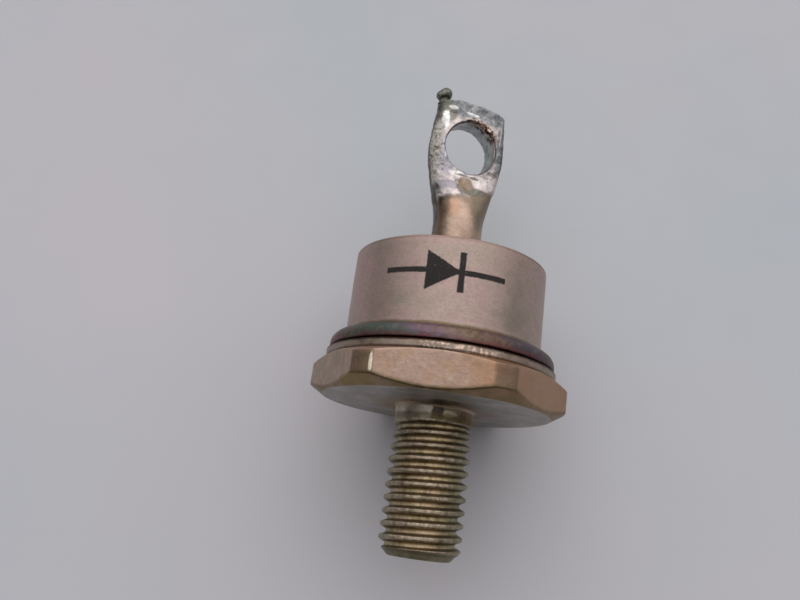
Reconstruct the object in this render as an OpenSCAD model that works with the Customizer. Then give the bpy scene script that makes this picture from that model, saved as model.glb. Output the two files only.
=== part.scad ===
// Stud-mounted rectifier diode in a welded metal can, lying on one flat of its hexagon.
// Each piece is modelled upright, with the axis on Z, the stud below and the seating face at zero.
// The last step lays the diode down: its axis becomes Y, with the terminal towards +Y.

/* [Hexagonal base] */
// Width of the hexagon across its flats
hex_flats = 17.35; // [14.4:0.05:21]
// Height of the hexagon above the seating face
hex_h = 2.7; // [2:0.05:4]
// How much of each corner's radius is turned away
corner_trim = 0.45; // [0.2:0.05:0.9]
// How far the flat seating face stays inside the flats
seat_margin = 0.2; // [0.1:0.05:0.6]
// Angle of the turned chamfer round the seating face
seat_chamfer_angle = 31; // [20:1:40]
// How far the turned top face of the hexagon stays inside the flats
top_margin = 0.075; // [0.05:0.005:0.3]
// Angle of the turned chamfer round the top of the hexagon
top_chamfer_angle = 24; // [15:1:40]

/* [Stud] */
// Outside diameter of the thread
stud_d = 6.1; // [5:0.05:8]
// Length of the stud below the seating face
stud_len = 10.75; // [9:0.05:14]
// Diameter of the plain neck above the thread
neck_d = 5.75; // [4.6:0.05:6.1]
// Length of the plain neck
neck_len = 1.1; // [0.6:0.1:2]
// Radius of the fillet at the neck's root
neck_fillet = 0.2; // [0.15:0.05:0.4]
// Height of the chamfer at the stud's end
stud_chamfer = 0.7; // [0.3:0.05:1]

/* [Pedestal and weld ring] */
// Gap between the pedestal that carries the chip and the can's wall
pedestal_gap = 0.53; // [0.15:0.01:0.6]
// Height of the pedestal above the hexagon
pedestal_h = 0.8; // [0.8:0.05:1.5]
// How far the weld ring stays inside the hexagon's flats
ring_inset = 0; // [0:0.005:0.4]
// Height of the weld ring
ring_h = 0.6; // [0.4:0.05:0.8]
// Radial gap between the weld ring and the pedestal
braze_gap = 0.05; // [0.02:0.01:0.15]

/* [Can] */
// Width of the flange outside the can's wall
flange_w = 1.12; // [0.9:0.01:1.6]
// Height of the can from the underside of its flange
can_h = 7.65; // [6.35:0.05:9.6]
// Thickness of the drawn sheet
can_wall = 0.3; // [0.25:0.05:0.8]
// Radius of the can's top edge
can_edge_r = 0.15; // [0.1:0.05:0.6]
// How far the flange stays inside the weld ring's edge
flange_inset = 0.125; // [0:0.005:0.2]
// Height of the flange's straight outer edge
flange_edge_h = 0.35; // [0.2:0.05:1]
// Radius of the step from the flange to the wall
flange_round = 0.85; // [0.4:0.05:1.1]
// Height of the ridge on the flange's underside that was melted to the ring
weld_ridge_h = 0.12; // [0.05:0.01:0.3]
// Width of that ridge
weld_ridge_w = 1; // [0.5:0.05:1.1]

/* [Glass seal] */
// Diameter of the glass in the can's top
glass_d = 8; // [6.5:0.1:9]
// Length of the glass along the axis
glass_h = 2; // [1.2:0.1:2.6]
// Depth of the hollow in each face of the glass
glass_dish = 0.25; // [0.1:0.05:0.4]

/* [Terminal] */
// Outside diameter of the terminal's tube
tube_d = 3.96; // [3.3:0.02:4.8]
// Wall of the tube
tube_wall = 0.6; // [0.5:0.05:0.9]
// How far the tube reaches below the glass
tube_tail = 0.5; // [0.3:0.1:1]
// Height of the terminal above the can's top
terminal_h = 13.45; // [11.2:0.05:16.5]
// Widest width of the flattened eye
eye_w = 6.25; // [5.8:0.05:7.5]
// Thickness of the flattened eye
eye_t = 1.8; // [1.2:0.05:2.4]
// Diameter of the hole in the eye
eye_hole_d = 4.4; // [3.4:0.05:5.3]
// Depth of the hole's centre below the eye's top edge
eye_hole_depth = 3.4; // [2.9:0.05:4]
// How much narrower the eye is at its top edge
eye_taper = 0.45; // [0:0.05:0.8]
// Rise of the eye's curved top edge
eye_crown = 0.35; // [0.1:0.05:0.6]
// Height above the can's top where the tube starts to widen
flare_start = 3.5; // [1.5:0.1:4]
// How far below the hole's centre the eye reaches its full width
full_width_drop = 0.25; // [0:0.05:1.5]
// How far above the hole's lower edge the tube is pressed to its full flatness
press_rise = 0.05; // [-0.5:0.05:0.5]
// Solid metal between the tube's bore and the hole
web_h = 0.35; // [0.2:0.05:0.8]
// Angle that the eye is turned from the upper flat of the hexagon
eye_turn = 26.8; // [-30:0.1:30]
// Angle that the eye is bent forward
eye_lean = 5; // [0:0.5:8]
// Angle that the eye is bent sideways
eye_side_bend = 0.5; // [-4:0.5:4]
// Diameter of the bead of solder left on the eye's corner
bead_d = 1.2; // [0.8:0.02:1.6]
// Height of the bead's centre above the eye's corner
bead_rise = 0.93; // [0.8:0.01:1.2]
// How far the bead's centre lies inside the eye's edge
bead_inset = 0.45; // [0.4:0.05:1]
// Diameter of the smaller lobe at the bead's outer side
lobe_d = 0.94; // [0.6:0.02:1.1]
// How far that lobe's centre lies outside the bead's
lobe_out = 0.33; // [0.2:0.01:0.4]
// How far that lobe's centre lies below the bead's
lobe_drop = 0.22; // [0:0.01:0.3]

/* [Chip stack] */
// Diameter of the silicon chip
chip_d = 7.2; // [5:0.1:8.4]
// Thickness of the silicon chip
chip_t = 0.28; // [0.2:0.02:0.4]
// Angle of the bevel ground round the chip's edge
chip_bevel = 50; // [35:1:70]
// Diameter of the lower molybdenum disc
low_disc_d = 7.8; // [6:0.1:9]
// Thickness of the lower molybdenum disc
low_disc_t = 0.5; // [0.3:0.05:0.8]
// Diameter of the upper molybdenum disc
top_disc_d = 6; // [4:0.1:6.4]
// Thickness of the upper molybdenum disc
top_disc_t = 0.4; // [0.25:0.05:0.6]
// Thickness of each layer of solder
solder_t = 0.1; // [0.05:0.01:0.2]
// Width of the rubber coating round the chip
coat_w = 0.9; // [0.5:0.1:1.2]

/* [Inner lead] */
// Gap between the flexible lead and the tube's bore
lead_gap = 0.6; // [0.2:0.01:0.7]
// How far the lead sways out between its foot and the tube
lead_sway = 0.35; // [0:0.05:0.6]
// Diameter of the lead's foot
foot_d = 3.8; // [2.6:0.1:5]
// Thickness of the foot's plate
foot_t = 0.35; // [0.25:0.05:0.6]
// Height of the collar that grips the lead
collar_h = 0.7; // [0.4:0.05:1]
// Wall of that collar
collar_wall = 0.4; // [0.25:0.05:0.6]

/* [Hidden] */
$fn = 96;
// Colours of the metals, the glass and the rubber
nickel = "#9a8f84";
tinned = "#b9b9b4";
sealed_glass = "#3f5a4c";
copper = "#b8735a";
solder = "#8f9194";
molybdenum = "#77797d";
silicon = "#4b4f58";
rubber = "#d9d4cc";
// Small overlap of solids that are joined into one piece
join = 0.01;
// Radii of the base
corner_r = hex_flats / 2 / cos(30) - corner_trim;
seat_r = hex_flats / 2 - seat_margin;
top_face_r = hex_flats / 2 - top_margin;
ring_r = hex_flats / 2 - ring_inset;
flange_r = ring_r - flange_inset;
can_r = flange_r - flange_w;
bore_r = can_r - can_wall;
pedestal_r = bore_r - pedestal_gap;
// Heights from the seating face
ring_top = hex_h + ring_h;
pedestal_top = hex_h + pedestal_h;
flange_low = ring_top + weld_ridge_h;
can_top = flange_low + can_h;
seat_chamfer_h = (corner_r - seat_r) * tan(seat_chamfer_angle);
top_chamfer_h = (corner_r - top_face_r) * tan(top_chamfer_angle);
pedestal_edge = 0.2;
// Can and seal
glass_r = glass_d / 2;
glass_low = can_top - can_edge_r / 2 - glass_h;
tube_r = tube_d / 2;
tube_low = glass_low - tube_tail;
// Stack of the chip, from the pedestal upwards
low_disc_low = pedestal_top + solder_t;
low_disc_top = low_disc_low + low_disc_t;
chip_low = low_disc_top + solder_t;
chip_top = chip_low + chip_t;
top_disc_low = chip_top + solder_t;
top_disc_top = top_disc_low + top_disc_t;
foot_low = top_disc_top + solder_t;
chip_top_r = chip_d / 2 - chip_t / tan(chip_bevel);
foot_top = foot_low + foot_t + collar_h;
// Terminal above the can
eye_top = can_top + terminal_h;
eye_z = eye_top - eye_hole_depth;
flare_low = can_top + flare_start;
flare_high = eye_z - full_width_drop;
press_high = eye_z - eye_hole_d / 2 + press_rise;
tube_bore_r = tube_r - tube_wall;
lead_r = tube_bore_r - lead_gap;
// Bore of the tube, which closes to a wedge between these heights
wedge_low = flare_low + 0.6;
wedge_high = eye_z - eye_hole_d / 2 - web_h;
// Gap between the squeezed lead and the wedge
press_clearance = 0.03;
// Squareness of the flattened eye's section, where 2 is round
eye_corner = 5;
// Rings of points along the pressed part of the tube and along the lead's curve, and points in each
press_rings = 28;
tube_sides = 44;
lead_rings = 14;
lead_sides = 20;

// Points of an arc round a centre, from one angle to another
function arc(centre, r, from, to, steps = 8) =
    [for (i = [0:steps]) let (a = from + (to - from) * i / steps) centre + r * [cos(a), sin(a)]];
// Smooth step from 0 to 1 as x passes from low to high
function ease(x, low, high) = let (t = min(1, max(0, (x - low) / (high - low)))) t * t * (3 - 2 * t);
function blend(a, b, t) = a + (b - a) * t;
// Signed power, which turns a circle into a rounded rectangle
function bow(v, e) = sign(v) * pow(abs(v), e);

// Shape of the terminal at height z
function half_width(z) = blend(tube_r, eye_w / 2, ease(z, flare_low, flare_high))
    - eye_taper / 2 * ease(z, eye_z, eye_top + eye_crown);
function half_thick(z) = blend(tube_r, eye_t / 2, ease(z, flare_low, press_high));
function corner_power(z) = 2 / blend(2, eye_corner, ease(z, flare_low, press_high));
function lean_shift(z) = -tan(eye_lean) * max(0, z - press_high) - tan(eye_lean) * 0.5 *
    (min(z, press_high) - flare_low) * ease(z, flare_low, press_high);
function side_shift(z) = -tan(eye_side_bend) * max(0, z - flare_low);
function crowned(z, x) = z + eye_crown * ease(z, eye_z, eye_top) * (1 - pow(x / (eye_w / 2), 2));
function terminal_ring(z) = [for (i = [0:tube_sides - 1]) let (
    a = 360 * i / tube_sides,
    x = half_width(z) * bow(cos(a), corner_power(z)),
    y = half_thick(z) * bow(sin(a), corner_power(z))
) [x + side_shift(z), y + lean_shift(z), crowned(z, x)]];

// Half of the space left in the tube at height z, which closes to a wedge
function wedge_half(z) = tube_bore_r * (wedge_high - z) / (wedge_high - wedge_low);
// Ring of the lead at height z, swaying out above its foot and squeezed by the wedge
function lead_ring(z) =
    let (
        turn = 360 * min(1, max(0, (z - foot_top) / (tube_low - foot_top))),
        sway = lead_sway * (1 - cos(turn)) / 2,
        thick = min(lead_r, wedge_half(z) - press_clearance)
    )
    [for (i = [0:lead_sides - 1]) let (a = 360 * i / lead_sides) [sway + lead_r * cos(a), thick * sin(a), z]];

// Strips that close a ring of n points, which number from its +X point
function cap_faces(n) = concat(
    [[0, 1, n - 1]],
    [for (i = [1:n / 2 - 2]) [i, i + 1, n - i - 1, n - i]],
    [[n / 2 - 1, n / 2, n / 2 + 1]]
);
// Faces between rings of points, closed at both ends
function ring_faces(count, n) = concat(
    cap_faces(n),
    [for (k = [0:count - 2]) for (i = [0:n - 1]) let (j = (i + 1) % n)
        [k * n + i, (k + 1) * n + i, (k + 1) * n + j]],
    [for (k = [0:count - 2]) for (i = [0:n - 1]) let (j = (i + 1) % n)
        [k * n + i, (k + 1) * n + j, k * n + j]],
    [for (face = cap_faces(n)) [for (i = [len(face) - 1:-1:0]) (count - 1) * n + face[i]]]
);

// Lays the upright diode on a flat
module lay() {
    rotate([-90, 0, 0]) children();
}

module ring(outer, inner, low, high) {
    translate([0, 0, low]) difference() {
        cylinder(r = outer, h = high - low);
        translate([0, 0, -1]) cylinder(r = inner, h = high - low + 2);
    }
}

module disc(d, low, thick) {
    translate([0, 0, low]) cylinder(d = d, h = thick);
}

// Hexagon with its corners turned away at both ends
module turned_hexagon() {
    intersection() {
        cylinder(r = hex_flats / 2 / cos(30), h = hex_h, $fn = 6);
        rotate_extrude() polygon([
            [0, 0], [seat_r, 0], [corner_r, seat_chamfer_h], [corner_r, hex_h - top_chamfer_h],
            [top_face_r, hex_h], [0, hex_h]
        ]);
    }
}

module pedestal() {
    translate([0, 0, hex_h - join]) rotate_extrude() polygon([
        [0, 0], [pedestal_r, 0], [pedestal_r, pedestal_h + join - pedestal_edge],
        [pedestal_r - pedestal_edge, pedestal_h + join], [0, pedestal_h + join]
    ]);
}

module stud() {
    rise = (stud_d - neck_d) / 2;
    root_r = neck_d / 2 + neck_fillet;
    rotate_extrude() polygon(concat(
        [[0, join], [root_r, join]],
        arc([root_r, -neck_fillet], neck_fillet, 90, 180, 4),
        [[neck_d / 2, -neck_len], [stud_d / 2, -neck_len - rise],
        [stud_d / 2, -stud_len + stud_chamfer], [stud_d / 2 - stud_chamfer, -stud_len], [0, -stud_len]]
    ));
}

module stud_base() {
    color(nickel) lay() union() {
        turned_hexagon();
        pedestal();
        stud();
    }
}

module weld_ring() {
    color(nickel) lay() ring(ring_r, pedestal_r + braze_gap, hex_h, ring_top);
}

// Drawn can with a welded flange below and a collar round the glass above
module can() {
    ridge_mid = (bore_r + flange_r) / 2;
    collar_r = glass_r + can_wall;
    outside = concat(
        [[ridge_mid - weld_ridge_w / 2, flange_low], [ridge_mid - weld_ridge_w / 2, ring_top],
        [ridge_mid + weld_ridge_w / 2, ring_top], [ridge_mid + weld_ridge_w / 2, flange_low],
        [flange_r, flange_low]],
        arc([flange_r - flange_round, flange_low + flange_edge_h], flange_round, 0, 90),
        [[can_r, flange_low + flange_edge_h + flange_round]],
        arc([can_r - can_edge_r, can_top - can_edge_r], can_edge_r, 0, 90),
        [[glass_r, can_top]]
    );
    inside = [[glass_r, glass_low], [collar_r, glass_low], [collar_r, can_top - can_wall],
        [bore_r, can_top - can_wall], [bore_r, flange_low]];
    color(nickel) lay() rotate_extrude() polygon(concat(outside, inside));
}

// Glass fused between the can's collar and the terminal's tube
module glass_seal() {
    mid = (glass_r + tube_r) / 2;
    half = (glass_r - tube_r) / 2;
    dish_r = (half * half + glass_dish * glass_dish) / (2 * glass_dish);
    sweep = asin(half / dish_r);
    high = glass_low + glass_h;
    color(sealed_glass) lay() rotate_extrude() polygon(concat(
        arc([mid, glass_low + glass_dish - dish_r], dish_r, 90 + sweep, 90 - sweep),
        arc([mid, high - glass_dish + dish_r], dish_r, 270 + sweep, 270 - sweep)
    ));
}

// Tube pressed flat at its top, seen from the front with its eye square on
module pressed_tube() {
    heights = concat([tube_low], [for (k = [0:press_rings]) flare_low + (eye_top - flare_low) * k / press_rings]);
    polyhedron(
        points = [for (z = heights) each terminal_ring(z)],
        faces = ring_faces(len(heights), tube_sides),
        convexity = 6
    );
}

// Space inside the tube
module tube_bore() {
    base = tube_low - 2;
    intersection() {
        translate([0, 0, tube_low - 1]) cylinder(r = tube_bore_r, h = wedge_high - tube_low + 2);
        rotate([90, 0, 90]) linear_extrude(height = tube_d * 2, center = true)
            polygon([[-wedge_half(base), base], [wedge_half(base), base], [0, wedge_high]]);
    }
}

module eye_hole() {
    translate([side_shift(eye_z), lean_shift(eye_z), eye_z]) rotate([90 + eye_lean, 0, 0])
        cylinder(d = eye_hole_d, h = tube_d * 2, center = true);
}

module terminal_body() {
    rotate([0, 0, eye_turn]) difference() {
        pressed_tube();
        tube_bore();
        eye_hole();
    }
}

module terminal() {
    color(tinned) lay() terminal_body();
}

// Bead of solder that froze in two lobes on the upper corner of the eye, with its short neck
module solder_bead() {
    x = bead_inset - half_width(eye_top);
    neck_r = bead_d * 0.35;
    seat = crowned(eye_top, x + neck_r) + join;
    color(solder) lay() rotate([0, 0, eye_turn]) translate([x + side_shift(eye_top), lean_shift(eye_top), 0])
        union() {
            translate([0, 0, eye_top + bead_rise]) sphere(d = bead_d);
            translate([-lobe_out, 0, eye_top + bead_rise - lobe_drop]) sphere(d = lobe_d);
            translate([0, 0, seat]) cylinder(r = neck_r, h = eye_top + bead_rise - seat);
        }
}

module base_solder() {
    color(solder) lay() disc(low_disc_d, pedestal_top, solder_t);
}

module lower_disc() {
    color(molybdenum) lay() disc(low_disc_d, low_disc_low, low_disc_t);
}

module lower_chip_solder() {
    color(solder) lay() disc(chip_d, low_disc_top, solder_t);
}

// Chip with a bevel ground round its edge
module silicon_chip() {
    color(silicon) lay() translate([0, 0, chip_low]) cylinder(r1 = chip_d / 2, r2 = chip_top_r, h = chip_t);
}

module upper_chip_solder() {
    color(solder) lay() disc(top_disc_d, chip_top, solder_t);
}

module upper_disc() {
    color(molybdenum) lay() disc(top_disc_d, top_disc_low, top_disc_t);
}

// Rubber that covers the chip's edge between the two discs
module chip_coating() {
    outer = chip_d / 2 + coat_w / 2;
    color(rubber) lay() rotate_extrude() polygon(concat(
        [[top_disc_d / 2, chip_top], [chip_top_r, chip_top], [chip_d / 2, chip_low],
        [chip_d / 2, low_disc_top]],
        arc([top_disc_d / 2, low_disc_top], min(outer, low_disc_d / 2) - top_disc_d / 2, 0, 90)
    ));
}

module lead_solder() {
    color(solder) lay() disc(foot_d, top_disc_top, solder_t);
}

// Nail-headed foot with a collar round the end of the lead
module lead_foot() {
    color(copper) lay() difference() {
        union() {
            disc(foot_d, foot_low, foot_t);
            disc(2 * (lead_r + collar_wall), foot_low, foot_t + collar_h);
        }
        disc(2 * lead_r, foot_low + foot_t, collar_h + 1);
    }
}

// Lead from its foot, out and back in a curve that takes up strain, to the pressed end of the tube
module inner_lead() {
    top = wedge_high - press_clearance * 4;
    heights = concat([foot_low + foot_t], [for (k = [0:lead_rings]) foot_top + (tube_low - foot_top) * k / lead_rings],
        [wedge_low, blend(wedge_low, top, 0.5), top]);
    color(copper) lay() rotate([0, 0, eye_turn]) polyhedron(
        points = [for (z = heights) each lead_ring(z)],
        faces = ring_faces(len(heights), lead_sides),
        convexity = 4
    );
}

stud_base();
weld_ring();
can();
glass_seal();
terminal();
solder_bead();
base_solder();
lower_disc();
lower_chip_solder();
silicon_chip();
upper_chip_solder();
upper_disc();
chip_coating();
lead_solder();
lead_foot();
inner_lead();
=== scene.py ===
import functools
import math

import bmesh
import bpy
import numpy as np
from mathutils import Matrix, Vector, noise


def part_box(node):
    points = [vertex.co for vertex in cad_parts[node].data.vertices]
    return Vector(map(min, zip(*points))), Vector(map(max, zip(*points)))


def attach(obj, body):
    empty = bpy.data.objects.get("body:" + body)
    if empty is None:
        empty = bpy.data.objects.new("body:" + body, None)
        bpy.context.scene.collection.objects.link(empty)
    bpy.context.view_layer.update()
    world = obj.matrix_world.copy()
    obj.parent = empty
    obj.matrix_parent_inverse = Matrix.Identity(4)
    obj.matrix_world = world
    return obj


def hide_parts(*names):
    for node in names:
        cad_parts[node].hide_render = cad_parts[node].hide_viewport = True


# Lengths in this script are millimetres, and MM turns them into Blender's metres.
# A piece is worked out upright, with its axis on Z and its front towards -Y, and is then laid
# down as the frame holds it: the axis becomes +Y, and the front turns up.
MM = 0.001

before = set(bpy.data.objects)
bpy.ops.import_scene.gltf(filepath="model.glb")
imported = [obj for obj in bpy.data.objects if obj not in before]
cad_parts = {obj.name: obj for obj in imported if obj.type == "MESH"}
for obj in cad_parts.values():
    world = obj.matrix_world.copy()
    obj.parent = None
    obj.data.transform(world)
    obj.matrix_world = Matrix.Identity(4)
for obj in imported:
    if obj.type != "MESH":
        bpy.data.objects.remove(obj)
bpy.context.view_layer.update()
scene = bpy.context.scene


# Sizes taken from the frame

def box_mm(node):
    low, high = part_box(node)
    return low / MM, high / MM


base_low, base_high = box_mm("stud_base")
ring_low, ring_high = box_mm("weld_ring")
can_high = box_mm("can")[1]
glass_low, glass_high = box_mm("glass_seal")
terminal_low = box_mm("terminal")[0]

FLATS = base_high.z - base_low.z
STUD_END = base_low.y
HEX_TOP = ring_low.y
PEDESTAL_TOP = base_high.y
RING_TOP = ring_high.y
RING_R = ring_high.x
CAN_TOP = can_high.y
FLANGE_R = can_high.x
GLASS_R = glass_high.x
GLASS_LOW = glass_low.y
GLASS_HIGH = glass_high.y
TUBE_LOW = terminal_low.y

# Sizes that the frame's boxes don't show, of the base and the weld ring

CORNER_TRIM = 0.45
CORNER_EDGE_R = FLATS / 2 / math.cos(math.pi / 6) - CORNER_TRIM
TOP_MARGIN = 0.075
TOP_CHAMFER = math.radians(24)
SEAT_MARGIN = 0.2
SEAT_CHAMFER = math.radians(31)
PEDESTAL_R = 6.6
PEDESTAL_EDGE = 0.2
NECK_R = 2.93
NECK_LEN = 1.1
NECK_FILLET = 0.2
RING_BORE_R = PEDESTAL_R + 0.05

# The can and the glass

FLANGE_W = 1.12
FLANGE_LOW = RING_TOP + 0.12
FLANGE_EDGE_H = 0.35
FLANGE_ROUND = 0.85
FLANGE_TOP = FLANGE_LOW + FLANGE_EDGE_H + FLANGE_ROUND
RIDGE_W = 1.0
CAN_R = FLANGE_R - FLANGE_W
CAN_WALL = 0.3
CAN_BORE_R = CAN_R - CAN_WALL
CAN_EDGE_R = 0.15
PRINT_DROP = 2.6
GLASS_DISH = 0.25

# The terminal and the bead on its corner

TUBE_R = 1.98
TUBE_BORE_R = TUBE_R - 0.6
EYE_TOP = CAN_TOP + 13.45
EYE_Z = EYE_TOP - 3.4
HOLE_R = 2.2
EYE_W = 6.25
EYE_T = 1.8
EYE_TAPER = 0.45
EYE_CROWN = 0.35
FLARE_LOW = CAN_TOP + 3.5
FLARE_HIGH = EYE_Z - 0.25
PRESS_HIGH = EYE_Z - HOLE_R + 0.05
WEDGE_LOW = FLARE_LOW + 0.6
WEDGE_HIGH = EYE_Z - HOLE_R - 0.35
EYE_TURN = math.radians(26.8)
EYE_LEAN = math.radians(5)
EYE_SIDE = math.radians(0.5)
TUBE_KINK = 0.14
BEAD_D = 1.2
BEAD_RISE = 0.93
BEAD_INSET = 0.45
LOBE_D = 0.94
LOBE_OUT = 0.33
LOBE_DROP = 0.22

# Quarter-inch fine thread with worn crests, whose first turns are shallower

PITCH = 0.907
CREST_R = 2.97
THREAD_DEPTH = 0.45
CREST_HALF = 0.12
ROOT_HALF = 0.11
FIRST_TURNS = 3.5
FIRST_SHALLOW = 0.07
STUD_CHAMFER = 0.7
STUD_WEAR = 0.12
ROWS_A_PITCH = 20

# Solder over the eye: height of its lower end at the middle, and how that end slopes

SOLDER_LOW = EYE_Z - 4.2
SOLDER_SLOPE = 0.32
SOLDER_THICK = 0.1

# How far worn surfaces lie inside the frame's sizes on average, and the side of the small quads
# that carry the solder's shape

WORN_IN = 0.02
CAN_WORN_IN = 0.03
SOLDER_IN = 0.03
BEAD_IN = 0.045
TERMINAL_VOXEL = 0.072
BEAD_VOXEL = 0.045

# Direction of the room's brightest part, and the light at places from square to that direction
# (0) to straight along it (1)

BRIGHT_SIDE = (0.08, 0.8, 0.6)
ROOM_LEVELS = ((0.0, 0.07), (0.3, 0.28), (0.7, 0.92), (0.95, 1.4))


# Meshes

def lay_down(points):
    """Upright points in millimetres, as points of the frame in metres."""
    points = np.asarray(points, float)
    return np.stack([points[:, 0], points[:, 2], -points[:, 1]], 1) * MM


def make_object(name, points, faces, merge=0.0):
    """A mesh object with its normals outwards. Points nearer than merge become one."""
    mesh = bpy.data.meshes.new(name)
    mesh.from_pydata(points.tolist(), [], faces)
    shell = bmesh.new()
    shell.from_mesh(mesh)
    if merge:
        bmesh.ops.remove_doubles(shell, verts=shell.verts, dist=merge)
    bmesh.ops.recalc_face_normals(shell, faces=shell.faces)
    shell.to_mesh(mesh)
    shell.free()
    made = bpy.data.objects.new(name, mesh)
    scene.collection.objects.link(made)
    return made


def make_piece(name, points, faces):
    """A smooth piece of the frame from upright points."""
    piece = make_object(name, lay_down(points), faces, merge=1e-4 * MM)
    piece.data.polygons.foreach_set("use_smooth", [True] * len(piece.data.polygons))
    return piece


def grid_faces(rows, columns):
    """Quads between rows of points that each close on themselves."""
    return [
        (i * columns + j, i * columns + (j + 1) % columns,
         (i + 1) * columns + (j + 1) % columns, (i + 1) * columns + j)
        for i in range(rows - 1)
        for j in range(columns)
    ]


def around(radius, height, angle):
    """Upright point at an angle from the front, towards +X."""
    return (radius * math.sin(angle), -radius * math.cos(angle), height)


def circle(columns):
    """Points of a level circle of radius 1."""
    turn = np.linspace(0, 2 * math.pi, columns, endpoint=False)
    return np.stack([np.cos(turn), np.sin(turn), np.zeros(columns)], 1)


def outline(corners, steps=4):
    """Profile through corners (radius, height, cut, rows), each rounded by its cut and reached in
    that many rows."""
    points = [corners[0][:2]]
    for i in range(1, len(corners)):
        r, h, cut, rows = corners[i]
        here = Vector((r, h))
        back = Vector(corners[i - 1][:2]) - here
        curve = [here]
        if cut > 0 and i < len(corners) - 1:
            onward = Vector(corners[i + 1][:2]) - here
            start = here + back.normalized() * min(cut, back.length / 2)
            end = here + onward.normalized() * min(cut, onward.length / 2)
            curve = [
                start * (1 - k / steps) ** 2 + here * 2 * (k / steps) * (1 - k / steps)
                + end * (k / steps) ** 2
                for k in range(steps + 1)
            ]
        last = Vector(points[-1])
        points += [tuple(last.lerp(curve[0], k / rows)) for k in range(1, rows + 1)]
        points += [tuple(p) for p in curve[1:]]
    return points


def arc(centre_r, centre_h, radius, start, end, steps=10):
    """Points of an arc in a profile, between two angles in degrees."""
    angles = [math.radians(start + (end - start) * k / steps) for k in range(steps + 1)]
    return [(centre_r + radius * math.cos(a), centre_h + radius * math.sin(a)) for a in angles]


def lathe(name, profile, columns=192, wobble=None):
    """Turns a closed profile about the axis. wobble moves a point by angle, radius and height."""
    points = []
    for r, h in profile:
        for j in range(columns):
            angle = 2 * math.pi * j / columns
            point = Vector(around(r, h, angle))
            points.append(tuple(point + wobble(angle, r, h) if wobble else point))
    last = (len(profile) - 1) * columns
    faces = grid_faces(len(profile), columns)
    faces += [(last + j, last + (j + 1) % columns, (j + 1) % columns, j) for j in range(columns)]
    return make_piece(name, points, faces)


def worn(point, seed):
    """Small unevenness from wear at a point, in millimetres."""
    at = Vector(point) + Vector((seed, 0, 0))
    return noise.noise(at * 0.5) * 0.02 + noise.noise(at * 2.2) * 0.008


def smooth(x, low, high):
    t = np.clip((x - low) / (high - low), 0, 1)
    return t * t * (3 - 2 * t)


def blend(a, b, t):
    return a + (b - a) * t


def noise_at(points, scale, seed):
    """Smooth noise from -1 to 1 at each point."""
    shift = Vector((seed, seed * 0.7, -seed))
    return np.array([noise.noise(Vector(p) * scale + shift) for p in points])


# Hexagonal base with its threaded stud, in one piece

def hexagon_angles():
    """Angles round the base, close together at the edges of the turned corners."""
    edge = math.degrees(math.acos(FLATS / 2 / CORNER_EDGE_R))
    near = 0.7
    flat = np.linspace(-edge + near, edge - near, 21)
    first = np.linspace(edge - near, edge + near, 7)[1:]
    corner = np.linspace(edge + near, 60 - edge - near, 5)[1:]
    last = np.linspace(60 - edge - near, 60 - edge + near, 7)[1:-1]
    sixth = np.concatenate([flat, first, corner, last])
    return np.radians(np.concatenate([sixth + 60 * k for k in range(6)]))


def hexagon_radius(angle):
    """Radius of the hexagon and its turned corners, a little rounded where they meet."""
    turn = (angle + math.pi / 6) % (math.pi / 3) - math.pi / 6
    flat_r = FLATS / 2 / math.cos(turn)
    rounding = 0.1
    near = max(rounding - abs(flat_r - CORNER_EDGE_R), 0) / rounding
    return min(flat_r, CORNER_EDGE_R) - near * near * rounding / 4


def base_outline(angle):
    """Profile from the top of the pedestal to the root of the neck, at one angle."""
    seat_r = FLATS / 2 - SEAT_MARGIN
    r = hexagon_radius(angle)
    top_r = FLATS / 2 - TOP_MARGIN
    top = HEX_TOP - (r - top_r) * math.tan(TOP_CHAMFER)
    bottom = (r - seat_r) * math.tan(SEAT_CHAMFER)
    return outline([
        (0, PEDESTAL_TOP, 0, 1),
        (PEDESTAL_R - PEDESTAL_EDGE, PEDESTAL_TOP, 0.05, 4),
        (PEDESTAL_R, PEDESTAL_TOP - PEDESTAL_EDGE, 0.05, 1),
        (PEDESTAL_R, HEX_TOP, 0, 2),
        (top_r, HEX_TOP, 0.03, 3),
        (r, top, 0.1, 3),
        (r, bottom, 0.12, 10),
        (seat_r, 0, 0.1, 3),
        (NECK_R + NECK_FILLET, 0, 0, 12),
    ])


def thread_radius(angle, height):
    """Radius of the stud with its right-handed thread."""
    turns = (height + NECK_LEN) / PITCH - angle / (2 * math.pi)
    off_crest = abs(turns - round(turns))
    depth = min(1, max(0, (off_crest - CREST_HALF) / (0.5 - CREST_HALF - ROOT_HALF)))
    depth = blend(depth, depth * depth * (3 - 2 * depth), 0.4)
    run_in = min(1, max(0, (-NECK_LEN - height) / 0.25))
    deep_from = -NECK_LEN - FIRST_TURNS * PITCH
    shallow = FIRST_SHALLOW * float(smooth(height, deep_from, -NECK_LEN - PITCH))
    r = blend(NECK_R, CREST_R - shallow - THREAD_DEPTH * depth * (1 - 2 * shallow), run_in)
    return min(r, CREST_R - STUD_CHAMFER + height - STUD_END - STUD_WEAR)


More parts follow.
